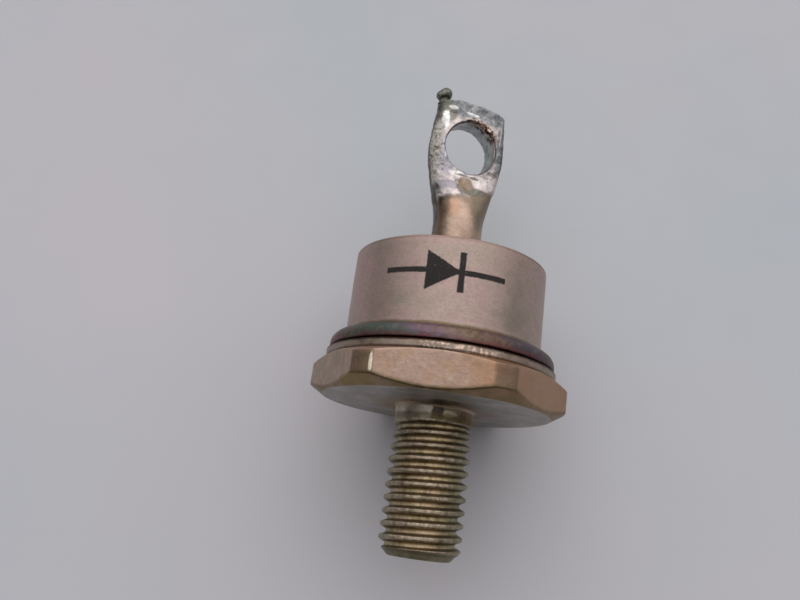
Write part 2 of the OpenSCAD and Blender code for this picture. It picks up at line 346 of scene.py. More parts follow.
def make_base():
    angles = hexagon_angles()
    columns = len(angles)
    profiles = [base_outline(a) for a in angles]
    points = []
    for k in range(len(profiles[0])):
        for a, profile in zip(angles, profiles):
            r, h = profile[k]
            outside = r > FLATS / 2 - TOP_MARGIN or h < 0.01
            wear = worn(around(r, h, a), 5) - WORN_IN if outside else 0
            points.append(around(r + wear, h, a))
    for r, h in arc(NECK_R + NECK_FILLET, -NECK_FILLET, NECK_FILLET, 90, 180, 4)[1:-1]:
        points += [around(r, h, a) for a in angles]
    end = STUD_END + STUD_WEAR
    n = round((-NECK_FILLET - end) / PITCH * ROWS_A_PITCH)
    for h in np.linspace(-NECK_FILLET, end, n):
        for a in angles:
            r = thread_radius(a, h)
            points.append(around(r + worn(around(r, h, a), 9), h, a))
    points += [around(0, end, a) for a in angles]
    return make_piece("base_and_stud", points, grid_faces(len(points) // columns, columns))


# Weld ring, can and glass, turned pieces

def make_ring():
    outside_r = RING_R - WORN_IN
    profile = outline([
        (RING_BORE_R, HEX_TOP, 0, 1), (outside_r, HEX_TOP, 0, 3),
        (outside_r, RING_TOP, 0.08, 3), (RING_BORE_R, RING_TOP, 0, 3),
    ])

    def wobble(angle, r, h):
        return Vector(around(min(0, worn(around(r, h, angle), 3) - WORN_IN), 0, angle))

    return lathe("weld_ring_finished", profile, wobble=wobble)


def can_profile():
    """Flange with its welding ridge, wall and top, and the inside with the collar."""
    ridge = (CAN_BORE_R + FLANGE_R) / 2
    ridge_in, ridge_out = ridge - RIDGE_W / 2, ridge + RIDGE_W / 2
    collar_r = GLASS_R + CAN_WALL
    edge_top = FLANGE_LOW + FLANGE_EDGE_H
    flange = outline([
        (CAN_BORE_R, FLANGE_LOW, 0, 1), (ridge_in, FLANGE_LOW, 0.03, 1),
        (ridge_in, RING_TOP, 0.03, 1), (ridge_out, RING_TOP, 0.03, 1),
        (ridge_out, FLANGE_LOW, 0.03, 1), (FLANGE_R, FLANGE_LOW, 0.1, 1),
        (FLANGE_R, edge_top, 0, 1),
    ])
    flange += arc(FLANGE_R - FLANGE_ROUND, edge_top, FLANGE_ROUND, 0, 90, 12)[1:]
    wall = outline([
        (FLANGE_R - FLANGE_ROUND, FLANGE_TOP, 0, 1), (CAN_R, FLANGE_TOP, 0.12, 1),
        (CAN_R, CAN_TOP - CAN_EDGE_R, 0, 14),
    ])[1:]
    wall += arc(CAN_R - CAN_EDGE_R, CAN_TOP - CAN_EDGE_R, CAN_EDGE_R, 0, 90, 8)[1:]
    inside = outline([
        (CAN_R - CAN_EDGE_R, CAN_TOP, 0, 1), (GLASS_R, CAN_TOP, 0.1, 8),
        (GLASS_R, GLASS_LOW, 0, 4), (collar_r, GLASS_LOW, 0.05, 1),
        (collar_r, CAN_TOP - CAN_WALL, 0.1, 3), (CAN_BORE_R, CAN_TOP - CAN_WALL, 0.2, 4),
        (CAN_BORE_R, FLANGE_LOW, 0, 6),
    ])[1:-1]
    return flange + wall + inside


def make_can():
    def wobble(angle, r, h):
        on_flange = smooth(FLANGE_TOP - h, -0.1, 0.3) * smooth(r, CAN_R, CAN_R + 0.3)
        rough = worn(around(r, h, angle), 21) - CAN_WORN_IN
        return Vector(around(rough * (1 + on_flange), 0, angle))

    return lathe("can_finished", can_profile(), wobble=wobble)


def make_glass():
    """Glass with a hollow in each face, where it crept up the two walls."""
    mid = (GLASS_R + TUBE_R) / 2
    half = (GLASS_R - TUBE_R) / 2
    dish_r = (half * half + GLASS_DISH * GLASS_DISH) / (2 * GLASS_DISH)
    sweep = math.degrees(math.asin(half / dish_r))
    low = arc(mid, GLASS_LOW + GLASS_DISH - dish_r, dish_r, 90 + sweep, 90 - sweep, 16)
    high = arc(mid, GLASS_HIGH - GLASS_DISH + dish_r, dish_r, 270 + sweep, 270 - sweep, 16)
    return lathe("glass_finished", low + high, columns=128)


# Terminal: a tube pressed flat, widened, bent and pierced, with solder over its end

def half_width(z):
    wide = TUBE_R + (EYE_W / 2 - TUBE_R) * smooth(z, FLARE_LOW, FLARE_HIGH)
    return wide - EYE_TAPER / 2 * smooth(z, EYE_Z, EYE_TOP + EYE_CROWN)


def half_thick(z):
    return TUBE_R + (EYE_T / 2 - TUBE_R) * smooth(z, FLARE_LOW, PRESS_HIGH)


def lean_shift(z):
    """How far the eye's middle lies in front of the axis, as a negative number."""
    bend = 0.5 * (np.minimum(z, PRESS_HIGH) - FLARE_LOW) * smooth(z, FLARE_LOW, PRESS_HIGH)
    return -math.tan(EYE_LEAN) * (np.maximum(0, z - PRESS_HIGH) + bend)


def side_shift(z):
    """How far the terminal's middle lies beside the axis: a kink in the tube, then a lean."""
    above_can = smooth(z, CAN_TOP + 0.2, FLARE_LOW - 1.5)
    below_eye = smooth(-z, -FLARE_HIGH, -FLARE_LOW)
    return TUBE_KINK * above_can * below_eye - math.tan(EYE_SIDE) * np.maximum(0, z - FLARE_LOW)


def terminal_section(z, columns):
    """The terminal's outline at one height, from a circle to a rounded rectangle."""
    c, s = circle(columns).T[:2]
    pressed = smooth(z, FLARE_LOW, PRESS_HIGH)
    power = np.where(c < 0, 2 / (2 + 1.2 * pressed), 2 / (2 + 3 * pressed))
    x = half_width(z) * np.sign(c) * np.abs(c) ** power
    y = half_thick(z) * np.sign(s) * np.abs(s) ** power
    crown = EYE_CROWN * smooth(z, EYE_Z, EYE_TOP) * (1 - (x / (EYE_W / 2)) ** 2)
    return np.stack([x + side_shift(z), y + lean_shift(z), z + crown], 1)


def bore_section(z, columns):
    """Points of the tube's bore at one height: it closes to a wedge."""
    open_part = min(1, (WEDGE_HIGH - z) / (WEDGE_HIGH - WEDGE_LOW))
    return circle(columns) * [TUBE_BORE_R, TUBE_BORE_R * open_part, 0] + [0, 0, z]


def solid_of(sections):
    """An object in millimetres, lofted through sections."""
    columns = len(sections[0])
    points = np.concatenate(sections)
    faces = grid_faces(len(sections), columns)
    last = (len(sections) - 1) * columns
    half = columns // 2
    for j in range(half):
        strip = [j, j + 1, columns - j - 1, (columns - j) % columns]
        faces.append(tuple(dict.fromkeys(strip)))
        faces.append(tuple(last + k for k in dict.fromkeys(reversed(strip))))
    return make_object("solid", points, faces)


def voxel_mesh(solid, others, operation, voxel, smoothing=0):
    """Points, normals and faces of a solid less or with others, as an even mesh."""
    for other in others:
        step = solid.modifiers.new("step", "BOOLEAN")
        step.object = other
        step.operation = operation
        step.solver = "EXACT"
    remesh = solid.modifiers.new("even", "REMESH")
    remesh.mode = "VOXEL"
    remesh.voxel_size = voxel
    if smoothing:
        solid.modifiers.new("smooth", "SMOOTH").iterations = smoothing
    depsgraph = bpy.context.evaluated_depsgraph_get()
    mesh = bpy.data.meshes.new_from_object(solid.evaluated_get(depsgraph))
    points = np.array([v.co for v in mesh.vertices])
    normals = np.array([v.normal for v in mesh.vertices])
    faces = [tuple(p.vertices) for p in mesh.polygons]
    for piece in [solid, *others]:
        bpy.data.objects.remove(piece)
    return points, normals, faces


def cylinder_solid(radius, place, turn, length, columns=96):
    """A cutter from front to back, turned about X."""
    cutter = solid_of([circle(columns) * radius + [0, 0, h] for h in (-length / 2, length / 2)])
    cutter.data.transform(Matrix.Translation(place) @ Matrix.Rotation(math.pi / 2 + turn, 4, "X"))
    return cutter


def turned(points):
    """Points turned about the axis, from square on to the eye's place."""
    c, s = math.cos(EYE_TURN), math.sin(EYE_TURN)
    x, y, z = points.T
    return np.stack([c * x - s * y, s * x + c * y, z], 1)


def make_terminal():
    heights = np.concatenate([
        np.linspace(TUBE_LOW, FLARE_LOW, 8)[:-1], np.linspace(FLARE_LOW, EYE_TOP, 90),
    ])
    body = solid_of([terminal_section(z, 96) for z in heights])
    bore_heights = np.concatenate([
        [TUBE_LOW - 1, FLARE_LOW], np.linspace(WEDGE_LOW, WEDGE_HIGH - 0.05, 8),
    ])
    bore = solid_of([bore_section(z, 64) for z in bore_heights])
    place = (side_shift(EYE_Z), lean_shift(EYE_Z), EYE_Z)
    hole = cylinder_solid(HOLE_R, place, EYE_LEAN, 8)
    points, normals, faces = voxel_mesh(body, [bore, hole], "DIFFERENCE", TERMINAL_VOXEL)
    return make_piece("terminal_finished", turned(solder_over(points, normals)), faces)


def hole_lip(points, x, y, z):
    """Height of the lip of solder at the hole's upper right in front."""
    from_hole = np.hypot(x, z - EYE_Z)
    around_hole = np.arctan2(z - EYE_Z, x)
    upper_right = smooth(around_hole, 0.35, 0.6) * smooth(-around_hole, -1.95, -1.7)
    front = smooth(-y, 0.3, 0.7)
    ridge = np.exp(-((from_hole - HOLE_R - 0.15) / 0.13) ** 2)
    scallops = 1 + 0.35 * np.sin(11 * around_hole) + 0.5 * noise_at(points, 2.4, 51)
    return front * ridge * upper_right * scallops * 0.2


def solder_over(points, normals):
    """Covers the terminal with solder: a coat with an uneven end, wrinkles, and the hole's lip."""
    x = points[:, 0] - side_shift(points[:, 2])
    y = points[:, 1] - lean_shift(points[:, 2])
    z = points[:, 2]
    coat_end = SOLDER_LOW + SOLDER_SLOPE * x + 0.2 * noise_at(points * [1, 1, 0], 0.9, 4)
    coated = smooth(z, coat_end - 0.2, coat_end + 0.4)
    coat = SOLDER_THICK * (1 - 0.5 * smooth(z, SOLDER_LOW, EYE_TOP)) - SOLDER_IN
    wrinkles = 0.05 * noise_at(points, 1.1, 11) + 0.025 * noise_at(points, 2.6, 31)
    rough = 0.012 * noise_at(points, 6, 17)
    solder = coat + wrinkles + rough + hole_lip(points, x, y, z)
    moved = coated * solder + 0.004 * noise_at(points, 3, 71)
    from_axis = np.hypot(points[:, 0], points[:, 1])
    outside = smooth(from_axis, TUBE_BORE_R + 0.05, TUBE_BORE_R + 0.2)
    outside = np.maximum(outside, smooth(z, WEDGE_HIGH, WEDGE_HIGH + 0.1))
    return points + normals * (moved * outside)[:, None]


def ball_solid(radius, place, columns=40):
    tilts = np.linspace(-math.pi / 2, math.pi / 2, columns // 2)[1:-1]
    ring = circle(columns) * radius
    return solid_of([ring * math.cos(a) + [0, 0, radius * math.sin(a)] + place for a in tilts])


def neck_solid(foot, columns=40):
    """The bead's neck, from its foot in the eye's solder, a little flattened."""
    off_side, flat = -0.04, 0.85
    rings = ((0.58, foot), (0.5, foot + 0.25), (0.46, foot + 0.45), (0.4, BEAD_RISE))
    return solid_of([circle(columns) * [r, flat * r, 0] + [off_side, 0, h] for r, h in rings])


def make_bead():
    """Two-lobed bead of solder on the eye's corner, with its neck."""
    x = BEAD_INSET - half_width(EYE_TOP)
    foot = EYE_CROWN * (1 - (x / (EYE_W / 2)) ** 2) - 0.2
    bead = ball_solid(BEAD_D / 2, np.array([0, 0, BEAD_RISE]))
    lobe = ball_solid(LOBE_D / 2, np.array([-LOBE_OUT, 0, BEAD_RISE - LOBE_DROP]))
    others = [lobe, neck_solid(foot)]
    points, normals, faces = voxel_mesh(bead, others, "UNION", BEAD_VOXEL, smoothing=3)
    moved = 0.05 * noise_at(points, 1.6, 3) + 0.02 * noise_at(points, 4, 8) - BEAD_IN
    points = points + normals * moved[:, None]
    points += [x + side_shift(EYE_TOP), lean_shift(EYE_TOP), EYE_TOP]
    return make_piece("solder_bead_finished", turned(points), faces)


# Finishes

def rgb(r, g, b):
    """A colour given as it looks on a screen, from 0 to 255."""
    def linear(c):
        c /= 255
        return c / 12.92 if c < 0.04045 else ((c + 0.055) / 1.055) ** 2.4
    return (linear(r), linear(g), linear(b), 1)


class Finish:
    """Builds the nodes of one material, a metal unless Metallic is given. Its coordinates are the
    frame's, in millimetres."""

    def __init__(self, name, **fixed):
        self.material = bpy.data.materials.new(name)
        self.material.use_nodes = True
        self.tree = self.material.node_tree
        self.tree.nodes.clear()
        self.shader = self.add("BsdfPrincipled", {"Metallic": 1.0, **fixed})
        end = self.add("OutputMaterial")
        self.tree.links.new(self.shader.outputs[0], end.inputs[0])
        coords = self.add("TexCoord")
        scale = self.add("VectorMath", {0: coords.outputs["Object"], "Scale": 1 / MM},
                         operation="SCALE")
        self.place = scale.outputs[0]
        parts = self.add("SeparateXYZ", {0: self.place})
        self.x, self.y, self.z = parts.outputs

    def add(self, kind, inputs=None, **settings):
        node = self.tree.nodes.new("ShaderNode" + kind)
        for key, value in settings.items():
            setattr(node, key, value)
        for key, value in (inputs or {}).items():
            if isinstance(value, bpy.types.NodeSocket):
                self.tree.links.new(value, node.inputs[key])
            else:
                node.inputs[key].default_value = value
        return node

    def set(self, name, value):
        self.tree.links.new(value, self.shader.inputs[name])

    def math(self, operation, a, b=0.0, c=0.0):
        return self.add("Math", {0: a, 1: b, 2: c}, operation=operation).outputs[0]

    def plus(self, *values):
        return functools.reduce(lambda a, b: self.math("ADD", a, b), values)

    def minus(self, a, b):
        return self.math("SUBTRACT", a, b)

    def times(self, *values):
        return functools.reduce(lambda a, b: self.math("MULTIPLY", a, b), values)

    def absolute(self, value):
        return self.math("ABSOLUTE", value)

    def inverse(self, mask):
        """Where a mask isn't."""
        return self.minus(1.0, mask)

    def distance(self, a, b):
        """Length of a line that runs a one way and b square to it."""
        return self.math("SQRT", self.plus(self.times(a, a), self.times(b, b)))

    def from_axis(self):
        """Distance from the stud's axis."""
        return self.distance(self.x, self.z)

    def angle(self):
        """Angle round the axis from the top, towards +X."""
        return self.math("ARCTAN2", self.x, self.z)

    def stretched(self, x, y, z):
        """The coordinates stretched, for grain that runs one way."""
        node = self.add("VectorMath", {0: self.place, 1: (x, y, z)}, operation="MULTIPLY")
        return node.outputs[0]

    def noise(self, scale, detail=3.0, roughness=0.5, place=None, distortion=0.0):
        node = self.add("TexNoise", {
            "Vector": place or self.place, "Scale": scale, "Detail": detail,
            "Roughness": roughness, "Distortion": distortion,
        })
        return node.outputs[0]

    def step(self, value, low, high, to_low=0.0, to_high=1.0):
        """Smooth change from one value to another while value passes from low to high."""
        node = self.add("MapRange", {
            "Value": value, "From Min": low, "From Max": high, "To Min": to_low, "To Max": to_high,
        }, interpolation_type="SMOOTHSTEP")
        return node.outputs[0]

    def spread(self, values, lowest, highest):
        """Values of a noise, spread between two limits."""
        return self.step(values, 0.3, 0.7, lowest, highest)

    def ragged(self, scale, amount):
        """Uneven shift of an edge, half to each side."""
        return self.times(self.minus(self.noise(scale, 4, 0.6), 0.5), amount)

    def patch(self, across, up, centre, size, ragged):
        """Mask of an oval patch with a ragged edge."""
        dx = self.times(self.minus(across, centre[0]), 1 / size[0])
        dy = self.times(self.minus(up, centre[1]), 1 / size[1])
        return self.step(self.plus(self.distance(dx, dy), ragged), 1.25, 0.8)

    def ramp(self, value, *stops):
        """Colours along a value, from stops of a position and a screen colour."""
        node = self.add("ValToRGB", {0: value})
        while len(node.color_ramp.elements) < len(stops):
            node.color_ramp.elements.new(0.5)
        for element, (position, *colour) in zip(node.color_ramp.elements, stops):
            element.position = position
            element.color = rgb(*colour)
        return node.outputs[0]

    def mix(self, factor, a, b):
        node = self.add("Mix", {0: factor, 6: a, 7: b}, data_type="RGBA")
        return node.outputs[2]

    def tinted(self, colour, mask, strength, tone):
        """The colour, with a screen tone over it where the mask is."""
        return self.mix(self.times(mask, strength), colour, rgb(*tone))

    def spotted(self, colour, values, low, high, strength, tone):
        """The colour, with a screen tone over it where the values are high."""
        return self.mix(self.step(values, low, high, 0.0, strength), colour, rgb(*tone))

    def made(self, colour, roughness, *heights):
        """The material with its colour, roughness and bumps, heights in millimetres."""
        self.set("Base Color", colour)
        self.set("Roughness", roughness)
        if heights:
            bump = self.add("Bump", {"Height": self.plus(*heights), "Distance": MM, "Strength": 1.0})
            self.set("Normal", bump.outputs[0])
        return self.material


# Finish of the can

def wall_colour(f, clouds, grain):
    """Dull nickel on the can's wall, browner at its upper rim."""
    wall = f.ramp(clouds, (0.32, 168, 154, 142), (0.46, 184, 162, 152),
                  (0.6, 190, 162, 156), (0.74, 174, 166, 156))
    wall = f.spotted(wall, f.noise(1.4, 4, 0.6), 0.45, 0.7, 0.35, (160, 142, 128))
    wall = f.spotted(wall, grain, 0.35, 0.75, 0.35, (146, 128, 118))
    rim = f.step(f.y, CAN_TOP - 0.3, CAN_TOP - 0.12)
    return f.tinted(wall, rim, 0.55, (142, 116, 102))


def flange_colour(f, wander, mottle):
    """Heat colours that change round the flange, redder at its left end."""
    band = f.times(f.minus(f.y, FLANGE_TOP - 0.6), 0.07)
    hue = f.plus(f.times(f.angle(), 0.32), f.times(wander, 0.24), f.times(mottle, 0.16), band, 0.48)
    tint = f.ramp(hue, (0.1, 122, 88, 92), (0.18, 98, 96, 84), (0.28, 90, 98, 86),
                  (0.36, 86, 98, 92), (0.43, 116, 96, 108), (0.5, 120, 100, 98),
                  (0.57, 122, 104, 86), (0.64, 112, 88, 82), (0.73, 92, 84, 92),
                  (0.86, 96, 80, 76))
    tint = f.spotted(tint, f.noise(2.6, 4, 0.65), 0.45, 0.7, 0.55, (88, 72, 64))
    tint = f.spotted(tint, f.noise(1.9, 4, 0.6), 0.5, 0.75, 0.5, (140, 120, 108))
    red_end = f.times(f.step(f.x, -7.9, -8.2), f.step(f.y, FLANGE_TOP - 0.4, FLANGE_TOP - 0.8))
    return f.tinted(tint, red_end, 0.7, (128, 84, 88))


def printed_mark(f):
    """Mask of a diode symbol printed round the can: a line, a triangle and a bar."""
    line_half, mark_half, bar_half = 0.2, 1.45, 0.22
    line_end, base_at, tip_at = 4.4, -1.35, 1.15
    soft = 0.05
    bleed = f.times(f.minus(f.noise(7, 2), 0.5), 0.12)
    across = f.plus(f.times(f.angle(), CAN_R), bleed)
    up = f.absolute(f.plus(f.y, PRINT_DROP - CAN_TOP, bleed))

    def within(value, half):
        return f.step(value, half + soft, half - soft)

    line = f.times(within(up, line_half), within(f.absolute(across), line_end))
    bar = f.times(within(up, mark_half), within(f.absolute(f.minus(across, tip_at)), bar_half))
    edge = f.times(f.minus(tip_at, across), mark_half / (tip_at - base_at))
    triangle = f.times(f.step(f.minus(edge, up), -soft, soft),
                       f.step(across, base_at - soft, base_at + soft))
    mark = f.math("MAXIMUM", f.math("MAXIMUM", line, bar), triangle)
    front = f.step(f.z, 0.0, 0.5)
    patchy = f.step(f.noise(3.5, 4, 0.7), 0.28, 0.42, 0.7, 1.0)
    return f.times(mark, front, patchy)


def nickel_can():
    """Dull nickel on the wall, heat colours on the flange, and the print, with painted shade where the
    wall meets the flange and in the groove under the flange.
    """
    f = Finish("can_nickel")
    clouds = f.noise(0.28, 3, 0.55)
    grain = f.noise(5, 4, 0.6)
    wander = f.minus(f.noise(0.9), 0.5)
    mottle = f.minus(f.noise(2.6, 4, 0.65), 0.5)
    height = f.plus(f.y, f.times(wander, 0.22))
    # Painted shade, olive-brown, where the wall meets the flange.
    wall_foot_shade = f.step(height, FLANGE_TOP + 0.34, FLANGE_TOP + 0.12)
    below_step = f.step(height, FLANGE_TOP - 0.02, FLANGE_TOP - 0.2)
    colour = f.mix(wall_foot_shade, wall_colour(f, clouds, grain), rgb(124, 108, 84))
    colour = f.mix(below_step, colour, flange_colour(f, wander, mottle))
    crimson = f.times(f.step(f.plus(f.y, f.times(wander, 0.2)), FLANGE_LOW + 0.45, FLANGE_LOW + 0.2),
                      f.step(f.noise(0.6), 0.4, 0.55))
    colour = f.tinted(colour, crimson, 0.6, (124, 72, 74))
    # Painted shade, dark brown, in the groove between the flange and the weld ring.
    flange_groove_shade = f.step(f.plus(f.y, f.times(wander, 0.1)), FLANGE_LOW + 0.2, FLANGE_LOW + 0.02)
    colour = f.mix(flange_groove_shade, colour, rgb(72, 44, 38))
    ink = printed_mark(f)
    f.set("Metallic", f.inverse(f.times(ink, 0.9)))
    roughness = f.plus(f.spread(clouds, 0.36, 0.46), f.times(grain, 0.08), f.times(ink, 0.2))
    turned_grain = f.noise(1.0, 3, 0.6, f.stretched(0.4, 14, 0.4))
    scratches = f.noise(1.0, 2, 0.5, f.stretched(9, 0.6, 9))
    on_flange = f.step(f.y, FLANGE_TOP + 0.1, FLANGE_TOP - 0.3)
    return f.made(f.mix(ink, colour, rgb(36, 29, 26)), roughness, f.times(turned_grain, 0.008),
                  f.times(grain, 0.008), f.times(scratches, 0.004), f.times(ink, 0.004),
                  f.times(mottle, on_flange, 0.05))


# Finish of the base and the stud

def hexagon_colour(f, radius, clouds, grain):
    """Dull plating, browner at the turned corners, with a painted highlight along one edge."""
    patches = f.noise(0.9, 4, 0.6, distortion=0.4)
    flats = f.ramp(clouds, (0.3, 158, 140, 122), (0.45, 180, 152, 136),
                   (0.6, 186, 156, 138), (0.72, 168, 150, 130))
    outer = f.ramp(clouds, (0.3, 160, 146, 128), (0.65, 176, 158, 142))
    flats = f.mix(f.step(f.absolute(f.x), 5.2, 6.4), flats, outer)
    flats = f.spotted(flats, patches, 0.45, 0.7, 0.6, (186, 150, 118))
    flats = f.spotted(flats, f.noise(1.6, 4, 0.6), 0.48, 0.72, 0.55, (200, 178, 166))
    flats = f.spotted(flats, f.noise(0.7, 3, 0.6), 0.5, 0.7, 0.4, (150, 124, 104))
    flats = f.spotted(flats, grain, 0.42, 0.75, 0.22, (128, 106, 86))
    flats = f.spotted(flats, f.plus(f.x, f.ragged(0.8, 2.0)), 1.5, 3.8, 0.65, (176, 134, 100))
    corner = f.times(f.step(radius, CORNER_EDGE_R - 0.1, CORNER_EDGE_R - 0.02), f.step(f.y, -0.5, 0.0))
    brown = f.ramp(patches, (0.3, 130, 114, 94), (0.45, 146, 122, 100), (0.65, 142, 112, 94))
    flats = f.mix(corner, flats, brown)
    # Painted highlight: a near-white streak along the left edge of the front flat.
    edge_highlight = f.patch(f.x, f.y, (-4.08, 1.35), (0.12, 0.75), f.ragged(3.0, 0.7))
    return f.mix(f.times(edge_highlight, f.step(f.z, 6.0, 7.0)), flats, rgb(244, 234, 208))


def underside_colour(f, radius):
    """Greyer plating on the seating face, stained round the stud and darker in a patch in front of it.
    """
    under = f.ramp(f.noise(0.5, 4, 0.6), (0.35, 150, 147, 142), (0.65, 184, 178, 170))
    near_stud = f.step(f.plus(radius, f.ragged(0.9, 2.4)), 5.4, 3.6)
    beside = f.ramp(f.times(f.x, 0.1), (0.1, 160, 138, 106), (0.4, 150, 130, 124))
    under = f.mix(f.times(near_stud, 0.8), under, beside)
    front_dark_patch = f.patch(f.x, f.z, (0.75, 4.1), (1.2, 1.0), f.ragged(1.6, 1.0))
    return f.tinted(under, front_dark_patch, 0.75, (72, 60, 46))


def stained_edge(f, colour, radius):
    """The colour, with olive along the lower chamfer and a gold patch at the left."""
    chamfer_top = f.plus(f.times(f.minus(radius, FLATS / 2), 0.6), 0.3)
    bottom_edge = f.times(f.step(f.minus(f.y, chamfer_top), 0.12, -0.1), f.step(f.y, 0.0, 0.06))
    olive = f.times(bottom_edge, f.step(f.noise(1.2), 0.3, 0.6, 0.6, 1.0))
    colour = f.mix(olive, colour, rgb(136, 116, 86))
    gold = f.times(f.patch(f.x, f.y, (-5.2, 0.4), (1.1, 0.35), f.ragged(1.6, 1.0)), f.step(f.z, 3, 4))
    return f.tinted(colour, gold, 0.7, (142, 124, 78))


def thread_colour(f, radius):
    """Plating worn to brass tones, with dirty flanks, crests lighter partly from wear and partly as a
    painted highlight, roots with a painted highlight, and painted shade tinted olive on the stud's
    sides.
    """
    crest = f.step(radius, CREST_R - 0.2, CREST_R - 0.06)
    root = f.step(radius, CREST_R - THREAD_DEPTH + 0.14, CREST_R - THREAD_DEPTH)
    dirt = f.noise(1.1, 4, 0.65)
    streaks = f.noise(1.0, 3, 0.6, f.stretched(2.4, 0.7, 2.4))
    colour = f.ramp(dirt, (0.3, 106, 94, 74), (0.5, 134, 118, 94), (0.7, 112, 110, 86))
    # Crests lighter, partly from wear and partly as a painted highlight.
    bright = f.ramp(f.noise(5, 3, 0.6), (0.35, 166, 150, 126), (0.6, 208, 188, 166))
    colour = f.mix(f.times(crest, f.step(streaks, 0.34, 0.56, 0.35, 1.0)), colour, bright)
    # Roots lighter still: a painted highlight.
    pink = f.ramp(streaks, (0.38, 176, 160, 122), (0.5, 214, 192, 152), (0.6, 212, 186, 160))
    colour = f.mix(f.times(root, f.step(dirt, 0.3, 0.6, 0.6, 1.0)), colour, pink)
    # Painted shade, tinted olive, on the stud's sides away from its lit middle.
    sides = f.step(f.absolute(f.plus(f.angle(), 0.1)), 0.5, 1.1)
    colour = f.tinted(colour, sides, 0.5, (116, 122, 96))
    colour = f.spotted(colour, f.noise(0.8, 4, 0.65), 0.52, 0.66, 0.45, (88, 76, 54))
    end = f.step(f.plus(f.y, f.ragged(1.5, 0.4)), STUD_END + STUD_CHAMFER + 0.1, STUD_END + 0.3)
    return f.tinted(colour, end, 0.7, (104, 104, 78))


def neck_colour(f):
    """Plating painted pale with a highlight, tan on the right half, with a cream painted highlight, a
    painted dark reflection and a dirty lower end.
    """
    # Pale: a painted highlight on the neck's plating.
    pale = f.ramp(f.noise(1.3), (0.35, 236, 230, 222), (0.6, 206, 194, 176))
    tan = f.ramp(f.noise(1.1), (0.35, 122, 104, 84), (0.6, 176, 160, 132))
    pale = f.mix(f.step(f.angle(), 0.1, 0.3), pale, tan)
    # Painted highlight, cream.
    cream_highlight = f.patch(f.angle(), f.y, (0.42, -0.6), (0.22, 0.22), f.ragged(2.2, 0.9))
    pale = f.tinted(pale, cream_highlight, 0.8, (222, 208, 176))
    # Painted dark reflection between the neck's highlights.
    dark_reflection = f.patch(f.angle(), f.y, (0.13, -0.6), (0.15, 1.6), f.ragged(2.2, 0.9))
    pale = f.tinted(pale, dark_reflection, 0.9, (62, 54, 42))
    lower_end = f.step(f.plus(f.y, f.ragged(1.5, 0.5)), -NECK_LEN + 0.6, -NECK_LEN + 0.3)
    return f.tinted(pale, lower_end, 0.75, (112, 96, 66))


def plated_base():
    """Dull plating on the hexagon, greyer on the seating face and worn on the stud."""
    f = Finish("plated_base")
    clouds = f.noise(0.35, 4, 0.6)
    grain = f.noise(4, 5, 0.65)
    radius = f.from_axis()
    is_under = f.times(f.step(f.y, 0.05, 0.01), f.step(f.y, -NECK_FILLET, -0.05))
    is_stud = f.step(f.y, -NECK_LEN * 0.12, -NECK_LEN * 0.22)
    is_neck = f.step(f.y, -NECK_LEN - 0.08, -NECK_LEN + 0.04)
    colour = f.mix(is_under, hexagon_colour(f, radius, clouds, grain), underside_colour(f, radius))
    colour = stained_edge(f, colour, radius)
    stud = f.mix(is_neck, thread_colour(f, radius), neck_colour(f))
    roughness = f.plus(f.spread(clouds, 0.36, 0.46), f.times(grain, 0.1))
    rings = f.times(f.math("SINE", f.times(radius, 42.0)), is_under)
    return f.made(f.mix(is_stud, colour, stud), roughness, f.times(grain, 0.02),
                  f.times(f.noise(1.6), 0.035), f.times(rings, 0.0012))


# Finishes of the weld ring and the glass

def weld_steel():
    """Grey-pink steel, with painted highlights as bright spots in front, painted shade in the groove
    along its upper edge, and patchy painted shade at its foot.
    """
    f = Finish("weld_steel")
    stain = f.noise(0.9, 4, 0.6)
    colour = f.ramp(stain, (0.3, 132, 116, 102), (0.45, 156, 138, 124),
                    (0.6, 168, 150, 138), (0.72, 148, 134, 118))
    # Painted highlights: bright spots on the ring's front.
    front_highlights = f.times(f.step(f.noise(3.6, 3, 0.6), 0.44, 0.66), f.step(f.x, -1.6, 0.2),
                    f.step(f.x, 4.6, 3.4))
    colour = f.mix(front_highlights, colour, rgb(240, 212, 190))
    # Painted shade in the groove under the flange, along the ring's upper edge.
    ring_groove_shade = f.step(f.plus(f.y, f.ragged(1.2, 0.16)), RING_TOP - 0.2, RING_TOP - 0.04)
    colour = f.mix(ring_groove_shade, colour, rgb(58, 42, 32))
    # Painted shade, grey and patchy, at the ring's foot where it meets the hexagon.
    foot = f.step(f.plus(f.y, f.ragged(1.2, 0.12)), HEX_TOP + 0.14, HEX_TOP + 0.02)
    colour = f.tinted(colour, f.times(foot, f.step(stain, 0.35, 0.6)), 0.6, (98, 90, 84))
    return f.made(colour, f.spread(stain, 0.38, 0.55), f.times(f.noise(6, 4, 0.6), 0.02),
                  f.times(stain, 0.05))


def sealed_glass():
    f = Finish("sealed_glass", Metallic=0.0, IOR=1.5)
    colour = f.ramp(f.noise(0.9), (0.35, 34, 58, 52), (0.65, 58, 84, 72))
    return f.made(colour, f.spread(f.noise(2.2), 0.08, 0.2), f.times(f.noise(1.5, 2), 0.01))


# Finishes of the terminal and the bead. Places on the eye are measured from the hole's middle.

def eye_places(f):
    """How far a point lies right of, above and in front of the hole's middle."""
    c, s = math.cos(EYE_TURN), math.sin(EYE_TURN)
    right = f.minus(f.times(f.x, c), f.times(f.z, s))
    up = f.minus(f.y, EYE_Z)
    leaned = f.times(up, -math.tan(EYE_LEAN))
    forward = f.plus(f.times(f.x, s), f.times(f.z, c), leaned, float(lean_shift(EYE_Z)))
    return right, up, forward


